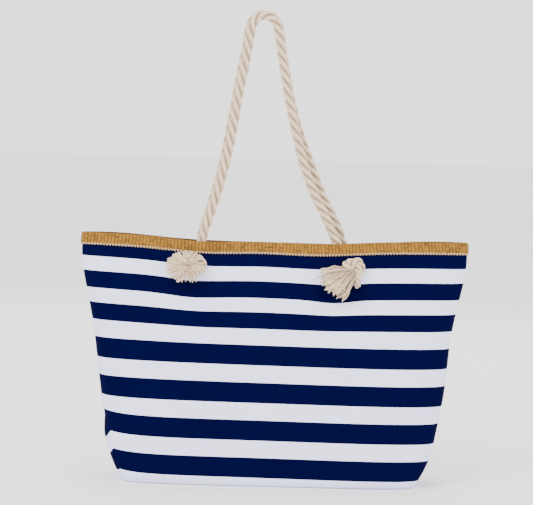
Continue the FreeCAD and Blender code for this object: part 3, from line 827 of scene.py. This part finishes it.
def loose_yarns(name, body_paths, side, x, yarn, rng):
    """A bundle of unlaid yarns, each a soft thick thread with a blunt end."""
    builder = Builder()
    for points, depth in body_paths:
        path = local_points(points, side, x)
        taper = np.linspace(1, 0.9, len(path))
        taper[-1] = 0.5
        radius = (1.0 + 0.35 * rng.random()) * MM
        # Painted shade: each yarn darker towards its root, where the yarns bunch at the knot, and darker
        # still for a lower depth; the random factor is the yarn's own tone.
        value = np.clip(np.linspace(-0.1, 1, len(path)) * depth * (0.7 + 0.35 * rng.random()), 0, 1)
        builder.tube(path, radius * taper, 6, value=np.repeat(value[:, None], 6, 1))
    dress(builder.finish(f"{name}_fray_yarn", yarn), "bag", "rope_yarn", f"{name}_fray")


def make_pompom(name, side, x, yarn, seed):
    """A rope end unlaid to its yarns, which open out like a flower and hide their knot."""
    rng = np.random.default_rng(seed)
    way = outward(side, x)
    centre = np.array([16.0 * way, -8.5, 19.0])
    root = np.array([11.0 * way, -8.0, 23.0])
    paths = []
    for _ in range(190):
        turn = rng.random() * 2 * math.pi
        tilt = math.acos(1 - rng.random() * 1.12)
        rim = np.array([math.cos(turn) * math.sin(tilt), math.sin(turn) * math.sin(tilt), math.cos(tilt)])
        end = centre + rim * np.array([30.0, 24.5, 14.5]) * (0.86 + 0.17 * rng.random())
        start = root + rng.normal(size=3) * np.array([3.5, 3.0, 1.0])
        bow = np.array([0, 0, 6.0]) * math.sin(tilt) ** 2
        paths.append((yarn_path(start, end, rng, 1.3, bow), 1.0))
    loose_yarns(name, paths, side, x, yarn, rng)


def make_tassel(name, side, x, yarn, seed):
    """A rope end unlaid to its yarns, which fan out below and beside the knot."""
    rng = np.random.default_rng(seed)
    way = outward(side, x)
    paths = []
    for _ in range(150):
        spread = rng.triangular(-1, 0, 1)
        angle = math.radians(217 + 41 * spread)
        heading = np.array([math.cos(angle) * way, math.sin(angle), 0.0])
        level = rng.random()
        start = np.array([(-5.0 + 5.0 * spread) * way, -6.0 - 4.0 * spread, 10.0 + 9.0 * level])
        start = start + rng.normal(size=3) * np.array([2.0, 2.0, 1.0])
        length = 41 + 8 * rng.random() - 6 * abs(spread)
        end = start + heading * length
        end[2] = 8.0 + 15.0 * level + 3.0 * rng.random()
        bow = np.array([0.0, 0.0, 3.5]) + rng.normal(size=3) * 1.5
        # The second item is painted shade: yarns lying lower, nearer the bag, come out darker.
        paths.append((yarn_path(start, end, rng, 1.5, bow, 11), 0.55 + 0.45 * level))
    loose_yarns(name, paths, side, x, yarn, rng)


def make_knots(cotton, yarn):
    for side, face in ((-1, "front"), (1, "back")):
        for way, hand in ((-1, "left"), (1, "right")):
            name, x = f"{face}_{hand}", way * HOLE_X
            opens = way == side
            seed = 20 + 2 * side + way
            make_knot(name, side, x, cotton, opens, 0.5 * way)
            if opens:
                make_pompom(name, side, x, yarn, seed)
            else:
                make_tassel(name, side, x, yarn, seed)


# --- Inside the bag -------------------------------------------------------------------------

# The main zip, in millimetres: it is closed beyond CLOSED_X, and its tapes lie against the walls
# short of OPEN_X
SEWN_Z = 292.0
FACING_WIDTH = 36.0
ZIP_EDGE = 3.2
TAPE_WIDTH = 11.0
CHAIN_Z = 268.0
CHAIN_DROP = 10.0
END_X = 235.0
CLOSED_X = 143.0
OPEN_X = 50.0

# The pockets, in millimetres, as half width, depth, stand off the lining, and fullness. The bottom and
# top are points of the wall behind them: out from the middle, and up
ZIP_POCKET = (95.0, 118.0, 1.3, 2.2)
SLIP_POCKET = (100.0, 125.0, 1.3, 3.0)
POCKET_BOTTOM = (70.4, 92.0)
POCKET_TOP = (60.2, 232.0)
POCKET_SEAM = 2.5
POCKET_SEAM_GAP = 0.5
TAPE_STAND = 2.2
STITCH_STAND = 1.8


def main_zip_rails(side):
    """The sewn line, tape edge and free edge of one side of the main zip, in metres."""
    sewn, tape, free = [], [], []
    for x in np.linspace(-END_X, END_X, 120):
        turn, z = where_on_wall(x * MM, SEWN_Z * MM, side)
        seam = surface(turn, z, -2.7 * MM)[0] / MM
        wall = abs(float(outline(turn, SEWN_Z * MM, 0.0)[1])) / MM - 3.2
        opened = min(1.0, max(0.0, (CLOSED_X - x) / (CLOSED_X - OPEN_X)))
        opened = opened * opened * (3 - 2 * opened)
        chain_z = CHAIN_Z - CHAIN_DROP * (x - CLOSED_X) / (END_X - CLOSED_X)
        if opened > 0:
            chain_z = CHAIN_Z + (SEWN_Z - FACING_WIDTH - CHAIN_Z) * opened
            chain_z += CHAIN_DROP * (CLOSED_X - x) * (1 - opened) / (END_X - CLOSED_X)
        closed_y = ZIP_EDGE + TAPE_WIDTH
        tape_y = closed_y + (wall - closed_y) * opened
        free_y = tape_y - TAPE_WIDTH * math.cos(opened * math.pi / 2)
        free_z = chain_z - TAPE_WIDTH * math.sin(opened * math.pi / 2)
        sewn.append(tuple(seam))
        tape.append((x, side * tape_y, chain_z))
        free.append((x, side * free_y, free_z))
    return [np.array(line) * MM for line in (sewn, tape, free)]


def strip(name, first, second, rows, thickness, material, sag=0.0, wrinkle=0.0):
    """A cloth strip between two lines."""
    t = np.linspace(0, 1, rows)[:, None, None]
    points = first[None] * (1 - t) + second[None] * t
    tangent = np.gradient(first, axis=0)
    normal = unit(np.cross(tangent, second - first))[None]
    along = distances(first)
    wave = wrinkle * np.sin(along / (9 * MM)) * np.sin(along / (23 * MM) + 1)
    points = points + normal * (4 * t * (1 - t)) * (sag + wave[None, :, None])
    width = float(np.linalg.norm(second - first, axis=1).mean())
    builder = Builder()
    builder.grid(points, along[None, :], np.linspace(0, width, rows)[:, None])
    obj = builder.finish(name, material)
    solid = obj.modifiers.new("thickness", "SOLIDIFY")
    solid.thickness = thickness
    solid.offset = 0.0
    return obj


def coil(builder, edge, towards, width, height, pitch=1.5 * MM):
    """A nylon coil along a tape's edge: width across, height through the tape."""
    line = even(edge, pitch / 8)
    target = even(towards, pitch / 8)
    target = np.stack([np.interp(np.linspace(0, 1, len(line)), np.linspace(0, 1, len(target)), target[:, i])
                       for i in range(3)], -1)
    across = unit(line - target)
    tangent = unit(np.gradient(line, axis=0))
    up = np.cross(tangent, across)
    turn = np.arange(len(line)) * 2 * math.pi / 8
    centre = line + across * (width / 2 + 0.1 * MM)
    path = centre + across * (np.cos(turn) * (width / 2 - 0.3 * MM))[:, None]
    path = path + up * (np.sin(turn) * (height / 2 - 0.3 * MM))[:, None]
    builder.tube(path, 0.3 * MM, 5, value=0.5)


def stitches(builder, line, normal, pitch=3.6 * MM, length=2.6 * MM, radius=0.3 * MM):
    """A row of thread stitches along a line on cloth."""
    line = np.asarray(line, float)
    along = distances(line)
    normal = np.broadcast_to(normal, line.shape)
    for start in np.arange(pitch / 2, along[-1] - length, pitch):
        t = start + np.array([0, 0.2, 0.5, 0.8, 1.0]) * length
        path = np.stack([np.interp(t, along, line[:, i]) for i in range(3)], -1)
        out = np.stack([np.interp(t, along, normal[:, i]) for i in range(3)], -1)
        path = path + unit(out) * (np.array([-0.25, 0.15, 0.28, 0.15, -0.25]) * MM)[:, None]
        builder.tube(path, radius, 5, value=0.8)


def make_main_zip(lining, tape, nylon, thread):
    rows = Builder()
    for side, name in ((-1, "front"), (1, "back")):
        sewn, tape_line, free = main_zip_rails(side)
        facing = strip(f"main_{name}_facing", sewn, tape_line, 9, 0.6 * MM, lining, 0.6 * MM, 0.8 * MM)
        dress(facing, "bag", "lining", f"main_zip_facing_{name}")
        cut_cloth(facing, f"{name}_lining_cloth")
        band = strip(f"main_{name}_tape", tape_line, free, 5, 0.8 * MM, tape)
        dress(band, "bag", "zip_tape", f"main_zip_tape_{name}")
        builder = Builder()
        coil(builder, free, tape_line, 2.3 * MM, 2.4 * MM)
        dress(builder.finish(f"main_{name}_coil", nylon), "bag", "zip_coil", f"main_zip_coil_{name}")
        inward = unit(np.cross(np.gradient(sewn, axis=0), tape_line - sewn))
        inward *= np.sign((inward * np.array([0, -side, 0.4])).sum(axis=1))[:, None]
        for share in (0.06, 0.9):
            line = sewn * (1 - share) + tape_line * share
            stitches(rows, line + inward * 0.5 * MM, inward)
        line = tape_line * 0.75 + free * 0.25
        stitches(rows, line + inward * 0.5 * MM, inward)
    dress(rows.finish("main_zip_stitching", thread), "bag", "zip_tape")


class Flat:
    """A flat frame on the lining: across, up the wall and into the bag, in millimetres."""

    def __init__(self, side):
        low = np.array([0, side * POCKET_BOTTOM[0], POCKET_BOTTOM[1]])
        high = np.array([0, side * POCKET_TOP[0], POCKET_TOP[1]])
        self.origin = low
        self.up = unit(high - low)
        self.across = np.array([float(side), 0, 0])
        self.into = np.cross(self.across, self.up)

    def place(self, points):
        points = np.asarray(points, float)
        axes = np.stack([self.across, self.up, self.into])
        return (self.origin + points @ axes) * MM


def pocket_cloth(name, flat, half, depth, stand, puff, material, open_top):
    """A patch pocket: sewn down at its sides and foot, a little full in the middle."""
    across = np.linspace(-half, half, 61)
    upward = np.linspace(0, depth, 41)
    a, w = np.meshgrid(across, upward)
    side_fall = 1 - (np.abs(a) / half) ** 4
    foot_fall = np.clip(w / 30, 0, 1)
    top_fall = 1.0 if open_top else np.clip((depth - w) / 30, 0, 1)
    rumple = 1 + 0.25 * np.sin(a / 17.0) * np.sin(w / 23.0)
    height = stand + puff * side_fall * foot_fall * top_fall * rumple
    points = flat.place(np.stack([a, w, height], -1))
    builder = Builder()
    builder.grid(points, a * MM, w * MM)
    obj = builder.finish(name, material)
    solid = obj.modifiers.new("thickness", "SOLIDIFY")
    solid.thickness = 0.6 * MM
    solid.offset = 0.0
    return obj


def sew_down(rows, flat, columns, height, foot):
    """Rows of stitches up a patch pocket, one for each (across, fullness), and one along its foot."""
    for x, full in columns:
        line = [[x, w, STITCH_STAND + full * min(w / 25, 1.0)] for w in np.linspace(2, height, 60)]
        stitches(rows, flat.place(line), flat.into)
    line = [[x, 2.5, STITCH_STAND] for x in np.linspace(-foot, foot, 90)]
    stitches(rows, flat.place(line), flat.into)


def make_zip_pocket(lining, tape, nylon, rows):
    flat = Flat(1)
    half, depth = ZIP_POCKET[:2]
    panel = pocket_cloth("zip_pocket_cloth", flat, *ZIP_POCKET, lining, False)
    dress(panel, "bag", "lining", "zip_pocket_panel")
    cut_cloth(panel, "back_lining_cloth")
    centre = depth + POCKET_SEAM_GAP + TAPE_WIDTH + ZIP_EDGE
    xs = np.linspace(-half, half, 90)
    for name, sign in (("lower", -1), ("upper", 1)):
        near_w, far_w = centre + sign * ZIP_EDGE, centre + sign * (ZIP_EDGE + TAPE_WIDTH)
        near = flat.place([[x, near_w, TAPE_STAND] for x in xs])
        far = flat.place([[x, far_w, TAPE_STAND] for x in xs])
        band = strip(f"pocket_{name}_tape", far, near, 5, 0.8 * MM, tape)
        dress(band, "bag", "zip_tape", f"pocket_zip_tape_{name}")
        builder = Builder()
        coil(builder, near[2:-2], far[2:-2], 2.3 * MM, 2.4 * MM)
        dress(builder.finish(f"pocket_{name}_coil", nylon), "bag", "zip_coil", f"pocket_zip_coil_{name}")
        line = flat.place([[x, far_w - sign * 2.0, TAPE_STAND + 0.5] for x in xs])
        stitches(rows, line, flat.into)
    side = half - POCKET_SEAM
    sew_down(rows, flat, ((-side, 0.0), (side, 0.0)), 146, half)


def make_slip_pocket(lining, rows):
    """An open pocket, divided by one row of stitches up its middle and hemmed along its mouth."""
    flat = Flat(-1)
    half, depth, _, puff = SLIP_POCKET
    slip = pocket_cloth("slip_pocket_cloth", flat, *SLIP_POCKET, lining, True)
    dress(slip, "bag", "lining", "slip_pocket")
    cut_cloth(slip, "front_lining_cloth")
    side, foot = half - POCKET_SEAM, half - 2
    sew_down(rows, flat, ((-side, 0.0), (0.0, 2.8), (side, 0.0)), depth - 2, foot)
    for w in (depth - 10, depth - 3):
        hem = [[x, w, 1.9 + puff * (1 - (abs(x) / half) ** 4)] for x in np.linspace(-foot, foot, 90)]
        stitches(rows, flat.place(hem), flat.into)


def make_pockets(lining, tape, nylon, thread):
    rows = Builder()
    make_zip_pocket(lining, tape, nylon, rows)
    make_slip_pocket(lining, rows)
    dress(rows.finish("pocket_stitching", thread), "bag", "lining")


def paint_metal(metal):
    for name in ("front_eyelets", "back_eyelets", "front_eyelet_washers", "back_eyelet_washers",
                 "main_zip_slider", "main_zip_pull", "main_zip_stops",
                 "pocket_zip_slider", "pocket_zip_pull", "pocket_zip_stops"):
        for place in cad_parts[name].material_slots:
            place.material = metal


# --- Stage ----------------------------------------------------------------------------------

SKY_STRENGTH = 2.2
CAMERA_LENS, CAMERA_SENSOR = 200.0, 36.0  # in millimetres
CAMERA_AIM = Vector((-0.0136, -0.03, 0.3302))
CAMERA_DISTANCE = 4.205
CAMERA_TURN = math.radians(-2.5)
CAMERA_RISE = math.radians(4)
CAMERA_ROLL = math.radians(1.87)


def make_camera():
    data = bpy.data.cameras.new("camera")
    data.lens, data.sensor_width = CAMERA_LENS, CAMERA_SENSOR
    camera = bpy.data.objects.new("camera", data)
    bpy.context.scene.collection.objects.link(camera)
    away = Vector((math.sin(CAMERA_TURN), -math.cos(CAMERA_TURN), math.tan(CAMERA_RISE)))
    camera.location = CAMERA_AIM + away * CAMERA_DISTANCE
    look = (CAMERA_AIM - camera.location).to_track_quat("-Z", "Y").to_matrix().to_4x4()
    camera.matrix_world = Matrix.Translation(camera.location) @ look @ Matrix.Rotation(CAMERA_ROLL, 4, "Z")
    bpy.context.scene.camera = camera


def area_light(name, place, aim, size, power):
    data = bpy.data.lights.new(name, "AREA")
    data.size, data.energy = size, power
    light = bpy.data.objects.new(name, data)
    light.location = place
    light.rotation_euler = (Vector(aim) - Vector(place)).to_track_quat("-Z", "Y").to_euler()
    bpy.context.scene.collection.objects.link(light)


def make_stage():
    s = Shader("pale_floor", 0.9, specular=0.1)
    tone = s.noise(s.place(), 1.5, 2.0)
    s.colour(s.mix(tone, (0.86, 0.86, 0.86), (0.90, 0.90, 0.90)))
    mesh = bpy.data.meshes.new("floor")
    size = 12.0
    corners = [(-size, -size, 0), (size, -size, 0), (size, size, 0), (-size, size, 0)]
    mesh.from_pydata(corners, [], [(0, 1, 2, 3)])
    mesh.materials.append(s.material)
    floor = bpy.data.objects.new("floor", mesh)
    floor.location.z = -0.0005
    bpy.context.scene.collection.objects.link(floor)
    world = bpy.data.worlds.new("studio")
    world.use_nodes = True
    world.node_tree.nodes["Background"].inputs["Color"].default_value = (1.0, 1.0, 1.0, 1.0)
    world.node_tree.nodes["Background"].inputs["Strength"].default_value = SKY_STRENGTH
    bpy.context.scene.world = world
    area_light("key", (-1.4, -2.2, 2.0), (0, 0, 0.3), 1.6, 74)
    area_light("fill", (1.8, -1.8, 1.0), (0, 0, 0.25), 2.0, 25)
    area_light("back", (0.3, 2.2, 1.8), (0, 0, 0.4), 2.0, 26)


def main():
    make_camera()
    # The first colour of each cotton is painted shade, for the rope's grooves and the loose yarns' roots.
    cotton = cotton_material("rope_cotton", (0.10, 0.052, 0.022), (0.71, 0.54, 0.37), (0.60, 0.44, 0.29))
    yarn = cotton_material("loose_yarn", (0.17, 0.10, 0.045), (0.75, 0.58, 0.39), (0.64, 0.47, 0.30))
    make_rope(-1, "front", FRONT_ROUTE, cotton)
    make_rope(1, "back", BACK_ROUTE, cotton)
    canvas, lining, straw = canvas_material(), lining_material(), straw_material()
    pale_thread = thread_material("rim_thread", (0.58, 0.38, 0.18))
    thread = thread_material("cotton_thread", (0.75, 0.70, 0.62))
    tape, nylon, metal = tape_material(), coil_material(), metal_material()
    make_panels(canvas, lining)
    make_plait(straw)
    make_rim_cords(straw, pale_thread)
    make_rim_shadow_strip(painted_shadow_cloth())
    make_knots(cotton, yarn)
    make_main_zip(lining, tape, nylon, thread)
    make_pockets(lining, tape, nylon, thread)
    paint_metal(metal)
    make_stage()


main()
bpy.context.view_layer.update()
